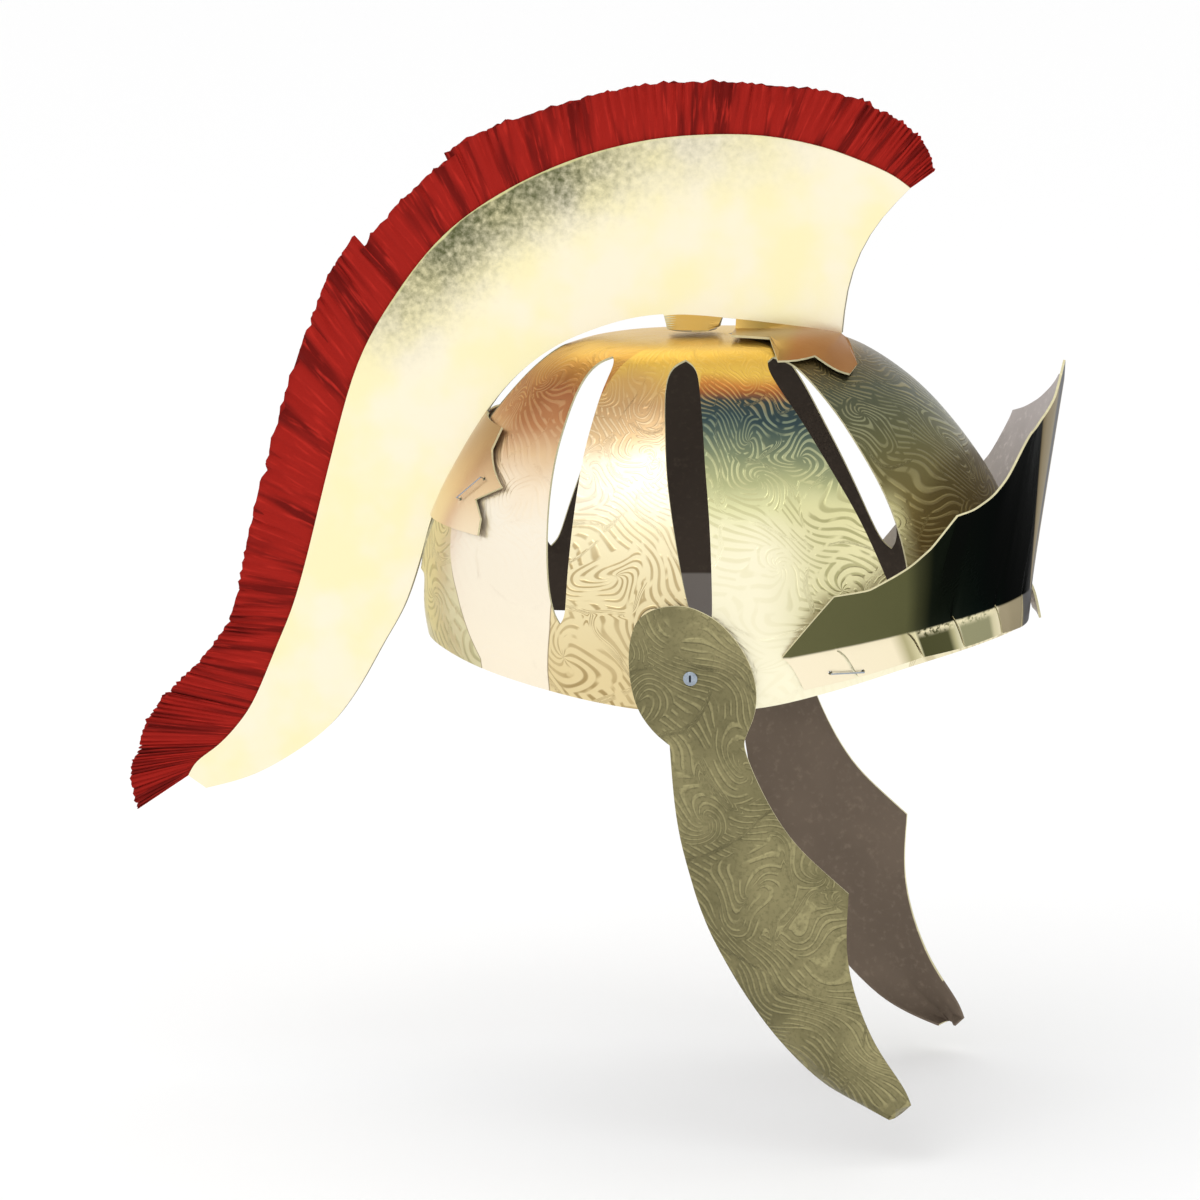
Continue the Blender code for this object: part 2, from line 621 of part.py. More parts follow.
def build_rivet(name, origin, normal):
    """A turned rivet: a domed head, a shaft and a flange inside the crown."""
    outer = CARD / 2 + GAP
    inner = -(GUARD_STANDOFF + CARD + GAP + 0.0004)
    profile = [
        (0.0, outer + RIVET_RISE), (RIVET_HEAD * 0.6, outer + RIVET_RISE * 0.85),
        (RIVET_HEAD, outer + RIVET_RISE * 0.3), (RIVET_HEAD, outer), (RIVET_SHAFT, outer),
        (RIVET_SHAFT, inner), (RIVET_HEAD, inner), (RIVET_HEAD, inner - 0.0005), (0.0, inner - 0.0005),
    ]
    bm = bmesh.new()
    verts = [bm.verts.new((r, 0, h)) for r, h in profile]
    edges = [bm.edges.new(pair) for pair in zip(verts, verts[1:])]
    bmesh.ops.spin(bm, geom=verts + edges, cent=(0, 0, 0), axis=(0, 0, 1), angle=math.tau,
                   steps=20, use_duplicate=False)
    bmesh.ops.remove_doubles(bm, verts=bm.verts, dist=0.00001)
    bmesh.ops.transform(bm, verts=bm.verts, matrix=Matrix.Translation(origin)
                        @ normal.to_track_quat("Z", "X").to_matrix().to_4x4())
    add_object("rivet_" + name, bm, "steel")


def build_staple(name, side, legs, through):
    """A bent wire through the pieces in through, its tips turned in behind the crown."""
    above = 2 * (GAP + CARD) + TAB_CLEAR * (name[0] == "c") + WIRE / 2
    below = -(CARD + GAP + WIRE / 2)
    outer, inner = [], []
    for n, (angle, z) in enumerate((legs[:2], legs[2:])):
        angle = angle if side < 0 else 360.0 - angle
        foot = crown_at(angle, z * CROWN_HEIGHT, 0.0)
        normal = (crown_at(angle, z * CROWN_HEIGHT, 0.001) - foot).normalized()
        outer.append(foot + normal * above)
        inner.append(foot + normal * below)
        for piece in through:
            cut(piece, f"{name}_hole_{n}_{piece.name}", foot, normal, STAPLE_HOLE, 10)
    inward = (inner[1] - inner[0]).normalized() * STAPLE_TIP
    path = [inner[0] + inward, inner[0], outer[0], outer[1], inner[1], inner[1] - inward]
    curve = bpy.data.curves.new(name, "CURVE")
    curve.dimensions = "3D"
    curve.bevel_depth = WIRE / 2
    curve.bevel_resolution = 1
    curve.use_fill_caps = True
    spline = curve.splines.new("POLY")
    spline.points.add(len(path) - 1)
    for point, place in zip(spline.points, path):
        point.co = (*place, 1.0)
    staple = bpy.data.objects.new(name, curve)
    bpy.context.scene.collection.objects.link(staple)
    curve.materials.append(material("steel", *MATERIALS["steel"]))


def clear_scene():
    for obj in list(bpy.data.objects):
        bpy.data.objects.remove(obj, do_unlink=True)


def main():
    clear_scene()
    crown = build_crown()
    held = {"visor": build_visor()}
    for name, side in (("right", -1), ("left", 1)):
        held["crest_plate"] = build_crest_plate(name, side)
        for staple, piece, *legs in STAPLES:
            build_staple(f"{staple}_{name}", side, legs, (crown, held[piece]))
    build_fringe()
    for name, *place in GUARD_SET:
        origin, normal = build_guard(name, *place)
        build_rivet(name, origin, normal)
        cut(crown, "crown_hole_" + name, origin, normal, RIVET_HOLE)


main()
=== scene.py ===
# Looks and light for a costume helmet of gold foil card with a red crepe crest.
import bpy
import bmesh
import math
import random
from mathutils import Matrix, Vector, noise


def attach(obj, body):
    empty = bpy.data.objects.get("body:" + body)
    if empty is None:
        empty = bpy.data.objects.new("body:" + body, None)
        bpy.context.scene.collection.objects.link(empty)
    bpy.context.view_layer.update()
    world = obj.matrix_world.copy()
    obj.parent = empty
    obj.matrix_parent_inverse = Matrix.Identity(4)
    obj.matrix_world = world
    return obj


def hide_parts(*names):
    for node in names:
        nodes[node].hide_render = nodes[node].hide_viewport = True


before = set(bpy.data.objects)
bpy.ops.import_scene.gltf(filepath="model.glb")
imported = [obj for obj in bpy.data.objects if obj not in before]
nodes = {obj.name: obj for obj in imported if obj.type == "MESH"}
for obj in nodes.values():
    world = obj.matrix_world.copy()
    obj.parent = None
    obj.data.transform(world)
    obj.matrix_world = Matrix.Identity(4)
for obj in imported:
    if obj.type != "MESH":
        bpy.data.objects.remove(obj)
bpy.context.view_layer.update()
degrees = 180.0 / math.pi  # in a radian


# Node helpers

def linear(red, green, blue):  # a screen colour from 0 to 255 as a linear one
    out = []
    for value in (red, green, blue):
        value /= 255
        out.append(value / 12.92 if value <= 0.04045 else ((value + 0.055) / 1.055) ** 2.4)
    return (*out, 1.0)


def addNode(tree, kind, inputs=None, **settings):
    node = tree.nodes.new(kind)
    for key, value in settings.items():
        setattr(node, key, value)
    for key, value in (inputs or {}).items():
        if isinstance(value, bpy.types.NodeSocket):
            tree.links.new(value, node.inputs[key])
        else:
            node.inputs[key].default_value = value
    return node


def calc(tree, operation, first, second=0.0, clamp=False):
    return addNode(tree, "ShaderNodeMath", {0: first, 1: second}, operation=operation,
                   use_clamp=clamp).outputs[0]


def times(tree, first, *others):
    for other in others:
        first = calc(tree, "MULTIPLY", first, other)
    return first


def plus(tree, first, second):
    return calc(tree, "ADD", first, second)


def minus(tree, first, second):
    return calc(tree, "SUBTRACT", first, second)


def vectorCalc(tree, operation, first, second=None):
    inputs = {0: first} if second is None else {0: first, 1: second}
    return addNode(tree, "ShaderNodeVectorMath", inputs, operation=operation)


def split(tree, vector):  # the X, Y and Z of a vector
    return addNode(tree, "ShaderNodeSeparateXYZ", {0: vector}).outputs


def blendValue(tree, factor, first, second):
    return addNode(tree, "ShaderNodeMix", {0: factor, 2: first, 3: second}).outputs[0]


def fade(tree, value, low, high):  # 0 at low, 1 at high, smooth between
    node = addNode(tree, "ShaderNodeMapRange", {"Value": value, "From Min": low, "From Max": high},
                   interpolation_type="SMOOTHSTEP")
    return node.outputs["Result"]


def blendColour(tree, factor, first, second):
    node = addNode(tree, "ShaderNodeMix", {0: factor, 6: first, 7: second}, data_type="RGBA")
    return node.outputs[2]


def followStops(tree, value, stops):  # a colour that follows the stops in straight steps
    node = addNode(tree, "ShaderNodeValToRGB", {"Fac": value})
    elements = node.color_ramp.elements
    while len(elements) > 1:
        elements.remove(elements[-1])
    elements[0].position, elements[0].color = stops[0]
    for place, colour in stops[1:]:
        elements.new(place).color = colour
    return node.outputs["Color"]


def ramp(tree, value, stops):
    return followStops(tree, value, [(place, linear(*colour)) for place, colour in stops])


def curve(tree, value, stops):  # the same for plain values
    return followStops(tree, value, [(place, (level,) * 3 + (1.0,)) for place, level in stops])


def newGroup(name, inputs, outputs):
    group = bpy.data.node_groups.new(name, "ShaderNodeTree")
    for label, kind, value in inputs:
        socket = group.interface.new_socket(name=label, in_out="INPUT", socket_type=kind)
        if value is not None:
            socket.default_value = value
    for label, kind in outputs:
        group.interface.new_socket(name=label, in_out="OUTPUT", socket_type=kind)
    return group, group.nodes.new("NodeGroupInput"), group.nodes.new("NodeGroupOutput")


def useGroup(tree, group, inputs):
    node = tree.nodes.new("ShaderNodeGroup")
    node.node_tree = group
    for key, value in inputs.items():
        if isinstance(value, bpy.types.NodeSocket):
            tree.links.new(value, node.inputs[key])
        else:
            node.inputs[key].default_value = value
    return node


swirlShape = {  # lengths in metres, scales in waves to the metre
    "curls": 31.0, "pitch": 0.0031, "bend": 0.030, "wander": 26.0, "blend": 0.22, "arms": 9.0,
    "heart": (0.0012, 0.0034), "reach": (0.0122, 0.0136), "drift": (0.62, 0.78, 0.0),
    "ridge": (-0.1, 0.9), "strokes": 150.0, "gaps": (0.31, 0.46),
}


def buildSwirls(shape):  # embossed curls in strokes: arms wind into each and run on into the next
    group, start, end = newGroup(
        "embossedSwirls",
        [("Vector", "NodeSocketVector", None),
         ("Curls per metre", "NodeSocketFloat", shape["curls"]),
         ("Ridge pitch", "NodeSocketFloat", shape["pitch"]),
         ("Bend", "NodeSocketFloat", shape["bend"])],
        [("Ridge", "NodeSocketFloat")])
    flat, pitch = start.outputs["Vector"], start.outputs["Ridge pitch"]
    wander = addNode(group, "ShaderNodeTexNoise", {
        "Vector": flat, "Scale": shape["wander"], "Detail": 1.0}, noise_dimensions="2D")
    shift = vectorCalc(group, "SUBTRACT", wander.outputs["Color"], (0.5, 0.5, 0.5))
    shift = vectorCalc(group, "SCALE", shift.outputs[0])
    group.links.new(start.outputs["Bend"], shift.inputs["Scale"])
    bent = vectorCalc(group, "ADD", flat, shift.outputs[0]).outputs[0]
    cells = addNode(group, "ShaderNodeTexVoronoi", {
        "Vector": bent, "Smoothness": shape["blend"], "Scale": start.outputs["Curls per metre"],
    }, voronoi_dimensions="2D", feature="SMOOTH_F1")
    local = vectorCalc(group, "SUBTRACT", bent, cells.outputs["Position"]).outputs[0]
    radius = vectorCalc(group, "LENGTH", local).outputs["Value"]
    parts = split(group, local)
    arms = times(group, calc(group, "ARCTAN2", parts["Y"], parts["X"]), shape["arms"])
    rings = times(group, calc(group, "DIVIDE", radius, pitch), math.tau)
    curl = calc(group, "SINE", plus(group, rings, arms))
    spread = vectorCalc(group, "DOT_PRODUCT", bent, shape["drift"]).outputs["Value"]
    between = calc(group, "SINE", times(group, calc(group, "DIVIDE", spread, pitch), math.tau))
    wave = blendValue(group, fade(group, radius, *shape["reach"]), curl, between)
    strokes = addNode(group, "ShaderNodeTexNoise", {
        "Vector": bent, "Scale": shape["strokes"], "Detail": 1.0}, noise_dimensions="2D")
    ridge = times(group, fade(group, wave, *shape["ridge"]),
                  fade(group, strokes.outputs["Fac"], *shape["gaps"]),
                  fade(group, radius, *shape["heart"]))
    group.links.new(ridge, end.inputs["Ridge"])
    return group


grainShape = {"size": 900.0, "detail": 3.0, "rough": 0.6, "clouds": 34.0}


def buildGrain(shape):  # the fine grain of rolled foil, with a few larger dull patches
    group, start, end = newGroup(
        "foilGrain",
        [("Vector", "NodeSocketVector", None), ("Size", "NodeSocketFloat", shape["size"])],
        [("Grain", "NodeSocketFloat"), ("Clouds", "NodeSocketFloat")])
    fine = addNode(group, "ShaderNodeTexNoise", {
        "Vector": start.outputs["Vector"], "Scale": start.outputs["Size"],
        "Detail": shape["detail"], "Roughness": shape["rough"]})
    clouds = addNode(group, "ShaderNodeTexNoise", {
        "Vector": start.outputs["Vector"], "Scale": shape["clouds"], "Detail": shape["detail"]})
    group.links.new(fine.outputs["Fac"], end.inputs["Grain"])
    group.links.new(clouds.outputs["Fac"], end.inputs["Clouds"])
    return group


swirlGroup = buildSwirls(swirlShape)
grainGroup = buildGrain(grainShape)


def newMaterial(name):
    material = bpy.data.materials.new(name)
    material.use_nodes = True
    tree = material.node_tree
    shader = tree.nodes["Principled BSDF"]
    place = addNode(tree, "ShaderNodeTexCoord")
    return material, tree, shader, place


def addBump(tree, shader, height, strength, distance):
    bump = addNode(tree, "ShaderNodeBump", {"Height": height, "Strength": strength,
                                            "Distance": distance})
    tree.links.new(bump.outputs["Normal"], shader.inputs["Normal"])


def addGrain(tree, place, size):
    return useGroup(tree, grainGroup, {"Vector": place.outputs["Object"], "Size": size}).outputs


def finishFoil(tree, shader, colour, settings):
    tree.links.new(colour, shader.inputs["Base Color"])
    shader.inputs["Metallic"].default_value = settings["metal"]
    shader.inputs["Roughness"].default_value = settings["gloss"]


# Materials. Foil shows its surroundings, so each panel has its own run of tones by height: painted
# reflections.

crownTones = {
    "height": 0.1045, "size": (0.106, 0.0785), "metal": 0.86, "gloss": 0.25, "grainGloss": 0.14,
    "shade": (216, 210, 156), "shadeLine": (150, 146, 96), "shadeDepth": 0.8, "shadeMarks": 0.75,
    "shadeAngles": (78.0, 62.0, 40.0, 46.0), "shadeHeights": (0.62, 0.5, 0.02, 0.2),
    "bendSpan": 1.24, "edge": 0.25, "cloudy": 0.13, "glare": (0.34, 0.60),
    "seamShadow": (120, 96, 62), "seamShadowDepth": 3.0, "seamShadowHeights": (0.30, 0.24), "seamShadowFrom": 2,
    "relief": (0.45, 0.0004), "grainRelief": 0.10, "grain": 900.0,
    "borders": [  # between panels: angle at the rim, change to the top and bend, right then left
        (46.0, 15.2, 5.5, 60.0, 7.6, -0.9), (83.6, 9.6, 0.4, 96.5, -1.0, 0.0),
        (117.6, 11.5, 5.9, 133.5, -1.5, 0.0), (137.0, 47.0, 0.0, 200.0, 0.0, 0.0),
    ],
    "panels": [  # from the front: ground by height, ridges by height, how far the ridges show; the tones are painted reflections
        ([(0.0, (242, 232, 198)), (0.12, (236, 226, 190)), (0.14, (112, 84, 42)),
          (0.35, (114, 94, 48)), (0.55, (110, 98, 56)), (0.72, (96, 94, 62)), (0.86, (78, 82, 64)),
          (0.95, (92, 80, 50)), (1.0, (140, 112, 56))],
         [(0.0, (150, 128, 78)), (0.5, (170, 156, 104)), (0.8, (150, 150, 116)),
          (1.0, (160, 130, 70))],
         [(0.0, 0.3), (0.3, 0.7), (0.9, 0.7), (1.0, 0.2)]),
        ([(0.0, (250, 244, 214)), (0.40, (252, 245, 212)), (0.49, (246, 240, 200)),
          (0.55, (226, 224, 172)), (0.62, (176, 178, 130)), (0.69, (126, 134, 102)),
          (0.75, (80, 94, 82)), (0.79, (50, 67, 69)), (0.855, (52, 63, 61)), (0.885, (150, 90, 48)),
          (0.91, (196, 128, 60)), (0.945, (228, 186, 80)), (1.0, (226, 186, 82))],
         [(0.0, (228, 218, 174)), (0.45, (222, 214, 165)), (0.55, (194, 190, 140)),
          (0.65, (208, 206, 154)), (0.80, (142, 154, 126)), (0.9, (206, 154, 82)),
          (1.0, (240, 208, 112))],
         [(0.0, 0.15), (0.3, 0.2), (0.45, 0.5), (0.6, 0.8), (0.85, 0.75), (0.95, 0.3),
          (1.0, 0.15)]),
        ([(0.0, (226, 206, 156)), (0.25, (238, 222, 176)), (0.46, (244, 232, 192)),
          (0.55, (250, 240, 215)), (0.66, (246, 232, 204)), (0.74, (212, 182, 138)),
          (0.82, (184, 146, 100)), (0.88, (200, 158, 92)), (0.94, (228, 188, 84)),
          (1.0, (226, 186, 82))],
         [(0.0, (158, 132, 82)), (0.3, (168, 143, 93)), (0.48, (196, 172, 124)),
          (0.6, (236, 220, 188)), (0.75, (238, 216, 178)), (0.85, (224, 196, 142)),
          (1.0, (240, 208, 112))],
         [(0.0, 0.85), (0.4, 0.85), (0.5, 0.5), (0.62, 0.4), (0.8, 0.6), (0.93, 0.3), (1.0, 0.2)]),
        ([(0.0, (248, 236, 212)), (0.45, (250, 240, 220)), (0.56, (250, 232, 204)),
          (0.66, (228, 194, 150)), (0.76, (186, 128, 82)), (0.86, (164, 102, 60)),
          (0.93, (198, 146, 68)), (1.0, (226, 186, 82))],
         [(0.0, (246, 238, 222)), (0.5, (250, 232, 200)), (0.75, (220, 180, 134)),
          (0.9, (194, 144, 86)), (1.0, (240, 208, 112))],
         [(0.0, 0.1), (0.45, 0.2), (0.6, 0.5), (0.85, 0.6), (1.0, 0.2)]),
        ([(0.0, (214, 206, 164)), (0.40, (234, 224, 184)), (0.75, (176, 124, 72)),
          (1.0, (214, 174, 80))],
         [(0.0, (164, 158, 112)), (0.5, (186, 174, 128)), (1.0, (230, 194, 104))],
         [(0.0, 0.7), (0.6, 0.6), (1.0, 0.2)]),
    ],
}


def addBorder(tree, height, drawn, left, row):  # the angle of a border between two panels
    sides = []
    for low, change, bend in (row[:3], row[3:]):
        line = plus(tree, times(tree, height, change), low)
        sides.append(minus(tree, line, times(tree, drawn, bend)))
    return blendValue(tree, left, *sides)


def makeCrownFoil(settings):
    material, tree, shader, place = newMaterial("crownFoil")
    spot = split(tree, place.outputs["Object"])
    long, wide = settings["size"]
    side = calc(tree, "DIVIDE", calc(tree, "ABSOLUTE", spot["Y"]), wide)
    ahead = calc(tree, "DIVIDE", spot["X"], long)
    angle = times(tree, calc(tree, "ARCTAN2", side, ahead), degrees)
    left = calc(tree, "GREATER_THAN", spot["Y"], 0.0)
    height = calc(tree, "DIVIDE", spot["Z"], settings["height"], clamp=True)
    drawn = calc(tree, "DIVIDE", height, settings["bendSpan"])
    drawn = calc(tree, "SINE", times(tree, calc(tree, "MINIMUM", drawn, 1.0), math.pi))
    grain = addGrain(tree, place, settings["grain"])
    cloudy = times(tree, minus(tree, grain["Clouds"], 0.5), settings["cloudy"])
    level = calc(tree, "ADD", height, cloudy, clamp=True)
    ground, line, shown = settings["panels"][0]
    colour, lineColour = ramp(tree, level, ground), ramp(tree, level, line)
    strength = curve(tree, height, shown)
    seamShadow = None
    for index, row in enumerate(settings["borders"]):
        border = addBorder(tree, height, drawn, left, row)
        past = fade(tree, minus(tree, angle, border), -settings["edge"], settings["edge"])
        ground, line, shown = settings["panels"][index + 1]
        colour = blendColour(tree, past, colour, ramp(tree, level, ground))
        lineColour = blendColour(tree, past, lineColour, ramp(tree, level, line))
        strength = blendValue(tree, past, strength, curve(tree, height, shown))
        if index >= settings["seamShadowFrom"]:
            crease = times(tree, past, minus(tree, 1.0, past))
            seamShadow = crease if seamShadow is None else calc(tree, "MAXIMUM", seamShadow, crease)
    angles, heights = settings["shadeAngles"], settings["shadeHeights"]
    shaded = times(tree, fade(tree, angle, *angles[:2]), fade(tree, angle, *angles[2:]),
                   fade(tree, height, *heights[:2]), fade(tree, height, *heights[2:]))
    colour = blendColour(tree, times(tree, shaded, settings["shadeDepth"]), colour,
                         linear(*settings["shade"]))
    lineColour = blendColour(tree, shaded, lineColour, linear(*settings["shadeLine"]))
    strength = calc(tree, "MAXIMUM", strength, times(tree, shaded, settings["shadeMarks"]))
    swirl = useGroup(tree, swirlGroup, {"Vector": place.outputs["UV"]})
    ridge = times(tree, swirl.outputs["Ridge"], strength)
    glare = fade(tree, grain["Clouds"], *settings["glare"])
    marks = times(tree, ridge, plus(tree, times(tree, glare, 0.5), 0.5))
    colour = blendColour(tree, marks, colour, lineColour)
    # painted shadow: a brown line along the lower part of the rear panel borders, where one panel's
    # edge lies over the next
    low = fade(tree, height, *settings["seamShadowHeights"])
    crease = calc(tree, "MULTIPLY", times(tree, seamShadow, settings["seamShadowDepth"]), low, clamp=True)
    colour = blendColour(tree, crease, colour, linear(*settings["seamShadow"]))
    finishFoil(tree, shader, colour, settings)
    rough = plus(tree, times(tree, grain["Grain"], settings["grainGloss"]), settings["gloss"])
    tree.links.new(rough, shader.inputs["Roughness"])
    relief = plus(tree, ridge, times(tree, grain["Grain"], settings["grainRelief"]))
    addBump(tree, shader, relief, *settings["relief"])
    return material


guardTones = {
    "ground": (112, 106, 74), "light": (146, 138, 99), "ridge": (184, 175, 128),
    "speck": (92, 88, 58),
    "metal": 0.84, "gloss": 0.40, "marks": 0.40, "specks": 0.4, "grain": 800.0, "pitch": 0.0025,
    "clouds": (0.3, 0.7), "speckRange": (0.45, 0.7), "relief": (0.7, 0.0006),
}


def makeGuardFoil(settings):
    material, tree, shader, place = newMaterial("guardFoil")
    grain = addGrain(tree, place, settings["grain"])
    colour = blendColour(tree, fade(tree, grain["Clouds"], *settings["clouds"]),
                         linear(*settings["ground"]), linear(*settings["light"]))
    ridge = useGroup(tree, swirlGroup, {"Vector": place.outputs["UV"],
                                        "Ridge pitch": settings["pitch"]}).outputs["Ridge"]
    colour = blendColour(tree, times(tree, ridge, settings["marks"]), colour,
                         linear(*settings["ridge"]))
    speck = times(tree, fade(tree, grain["Grain"], *settings["speckRange"]), settings["specks"])
    colour = blendColour(tree, speck, colour, linear(*settings["speck"]))
    finishFoil(tree, shader, colour, settings)
    addBump(tree, shader, ridge, *settings["relief"])
    return material


crestTones = {  # a mottled olive band lies inside the outer edge, where the window is open
    "centre": (-0.005, 0.050), "band": 0.034, "rim": (0.0012, 0.0006), "rimDepth": 0.8,
    "dark": (84, 88, 52), "pale": (250, 240, 192), "cream": (250, 241, 214),
    "edge": (226, 222, 160),
    "window": [(0.36, 0.0), (0.46, 0.34), (0.56, 0.5), (0.64, 0.95), (0.78, 1.0), (0.86, 0.5),
               (0.92, 0.0)],  # by angle about the centre, as a share of a half turn
    "mottle": 1.9, "patches": 0.8, "inBand": 0.5, "outside": 0.16, "weight": 0.86,
    "shade": (0.03, 1.12), "clouds": (0.35, 0.65), "grain": 460.0,
    "metal": 0.85, "gloss": 0.28, "relief": (0.15, 0.0003),
}


def makeCrestFoil(settings):
    material, tree, shader, place = newMaterial("crestFoil")
    spot = split(tree, place.outputs["Object"])
    along = minus(tree, spot["X"], settings["centre"][0])
    up = minus(tree, spot["Z"], settings["centre"][1])
    angle = calc(tree, "DIVIDE", calc(tree, "ARCTAN2", up, along), math.pi)
    window = curve(tree, angle, settings["window"])
    inward = split(tree, place.outputs["UV"])["Y"]
    grain = addGrain(tree, place, settings["grain"])
    band = times(tree, fade(tree, inward, settings["band"], 0.0), window)
    broken = plus(tree, times(tree, minus(tree, grain["Grain"], 0.5), settings["mottle"]),
                  times(tree, minus(tree, grain["Clouds"], 0.5), settings["patches"]))
    broken = times(tree, broken, plus(tree, times(tree, band, settings["inBand"]),
                                      times(tree, window, settings["outside"])))
    shade = plus(tree, times(tree, band, settings["weight"]), broken)
    shade = fade(tree, shade, *settings["shade"])
    pale = blendColour(tree, fade(tree, grain["Clouds"], *settings["clouds"]),
                       linear(*settings["pale"]), linear(*settings["cream"]))
    colour = blendColour(tree, shade, pale, linear(*settings["dark"]))
    rim = times(tree, fade(tree, inward, *settings["rim"]), window, settings["rimDepth"])
    colour = blendColour(tree, rim, colour, linear(*settings["edge"]))
    finishFoil(tree, shader, colour, settings)
    addBump(tree, shader, grain["Grain"], *settings["relief"])
    return material


# The crest's tabs lie flat on the crown and mirror other things than the plates do: their tones are
# painted reflections.
tabTones = {
    "top": [(0.0, (206, 164, 78)), (0.30, (198, 158, 72)), (0.48, (146, 118, 44)),
            (0.66, (150, 112, 42)), (0.74, (150, 86, 30)), (1.0, (138, 84, 34))],
    "rear": [(0.0, (250, 232, 200)), (0.35, (236, 206, 162)), (0.7, (204, 168, 124)),
             (1.0, (170, 134, 92))],
    "topSpan": (-0.030, 0.056), "rearSpan": (0.038, 0.078), "change": (-0.045, -0.035),
    "haze": (232, 200, 140), "hazeDepth": 0.3, "grain": 700.0,
    "metal": 0.82, "gloss": 0.3, "relief": (0.15, 0.0003),
}


def makeTabFoil(settings):
    material, tree, shader, place = newMaterial("tabFoil")
    spot = split(tree, place.outputs["Object"])
    grain = addGrain(tree, place, settings["grain"])
    top = ramp(tree, fade(tree, spot["X"], *settings["topSpan"]), settings["top"])
    rear = ramp(tree, fade(tree, spot["Z"], *settings["rearSpan"]), settings["rear"])
    colour = blendColour(tree, fade(tree, spot["X"], *settings["change"]), rear, top)
    colour = blendColour(tree, times(tree, grain["Clouds"], settings["hazeDepth"]), colour,
                         linear(*settings["haze"]))
    finishFoil(tree, shader, colour, settings)
    addBump(tree, shader, grain["Grain"], *settings["relief"])
    return material


visorTones = {  # painted reflections: tones run from the front to the visor's end, above and below its fold
    "fold": 0.0208, "drop": 0.0121, "end": 71.0, "slant": 4.0, "tab": 0.0150, "oval": 0.74,
    "foldEdge": 0.0005, "lean": 3.1, "stripGrowth": 320.0, "stripFoot": 1.0, "stripLeast": 0.1,
    "stripEdge": (1.0, 0.9),
    "upper": [(0.0, (18, 23, 19)), (0.40, (16, 22, 19)), (0.60, (24, 28, 21)),
              (0.645, (62, 63, 42)), (0.68, (92, 92, 60)), (1.0, (100, 99, 66))],
    "lower": [(0.0, (112, 112, 116)), (0.118, (122, 120, 118)), (0.122, (178, 166, 138)),
              (0.305, (168, 156, 128)), (0.311, (236, 226, 192)), (0.345, (214, 206, 168)),
              (0.365, (150, 148, 115)), (0.492, (148, 146, 112)), (0.500, (226, 220, 186)),
              (0.525, (180, 174, 132)), (0.545, (78, 78, 50)), (0.645, (74, 74, 46)),
              (0.652, (224, 216, 174)), (0.69, (176, 168, 126)), (0.73, (242, 230, 198)),
              (1.0, (246, 234, 204))],
    "strip": [(0.0, (124, 128, 138)), (0.16, (146, 144, 142)), (0.30, (204, 190, 160)),
              (0.75, (190, 174, 140)), (0.93, (160, 144, 112)), (1.0, (104, 96, 70))],
    "crumpleGlint": (232, 222, 184), "crumpleGlintDepth": (-0.0032, -0.0006), "crumpleGlintGrain": (0.36, 0.56),
    "crumpleGlintSpan": (0.29, 0.32, 0.66, 0.62), "grain": 700.0,
    "metal": 0.97, "gloss": 0.34, "glance": (0.3, 0.3, 0.3, 1.0), "relief": (0.14, 0.0003),
}


def makeVisorFoil(settings):
    material, tree, shader, place = newMaterial("visorFoil")
    spot = split(tree, place.outputs["Object"])
    side = calc(tree, "ABSOLUTE", spot["Y"])
    angle = calc(tree, "ARCTAN2", side, times(tree, spot["X"], settings["oval"]))
    angle = times(tree, angle, degrees)
    share = calc(tree, "DIVIDE", angle, settings["end"], clamp=True)
    fold = minus(tree, settings["fold"], times(
        tree, calc(tree, "POWER", share, 2.0), settings["drop"]))
    over = minus(tree, spot["Z"], fold)
    above = fade(tree, over, -settings["foldEdge"], settings["foldEdge"])
    grain = addGrain(tree, place, settings["grain"])
    leant = minus(tree, share, times(tree, calc(tree, "MAXIMUM", over, 0.0), settings["lean"]))
    upper = ramp(tree, leant, settings["upper"])
    width = plus(tree, times(tree, over, settings["stripGrowth"]), settings["stripFoot"])
    width = calc(tree, "MAXIMUM", width, settings["stripLeast"])
    across = calc(tree, "DIVIDE", angle, width, clamp=True)
    upper = blendColour(tree, fade(tree, across, *settings["stripEdge"]), upper,
                        ramp(tree, across, settings["strip"]))
    under = calc(tree, "MAXIMUM", times(tree, over, -1.0), 0.0)
    slid = times(tree, calc(tree, "DIVIDE", under, settings["tab"]),
                 settings["slant"] / settings["end"])
    lower = ramp(tree, plus(tree, share, slid), settings["lower"])
    colour = blendColour(tree, above, lower, upper)
    # painted glints: cream flecks just under the fold, where the foil is crumpled
    span = settings["crumpleGlintSpan"]
    crumpleGlint = times(tree, fade(tree, over, *settings["crumpleGlintDepth"]), minus(tree, 1.0, above),
                   fade(tree, grain["Grain"], *settings["crumpleGlintGrain"]),
                   fade(tree, share, *span[:2]), fade(tree, share, *span[2:]))
    colour = blendColour(tree, crumpleGlint, colour, linear(*settings["crumpleGlint"]))
    finishFoil(tree, shader, colour, settings)
    shader.inputs["Specular Tint"].default_value = settings["glance"]
    addBump(tree, shader, grain["Grain"], *settings["relief"])
    return material


# The boards are one card; the crown's darker tone is painted shade for the inside of the helmet.
boardTones = {"crown": (76, 66, 57), "guard": (118, 104, 90), "visor": (206, 198, 197),
              "crest": (178, 172, 166), "cut": (216, 208, 168)}
boardFinish = {
    "grain": 420.0, "darker": 0.82, "paler": 1.22, "clouds": (0.3, 0.7), "flecks": (0.5, 0.8),
    "gloss": 0.88, "shine": 0.2, "relief": (0.25, 0.0002),
    "band": (140, 133, 127), "bandTop": (0.0078, 0.0068), "bandMiddle": 0.020,
    "bandReach": (0.031, 0.028),
}


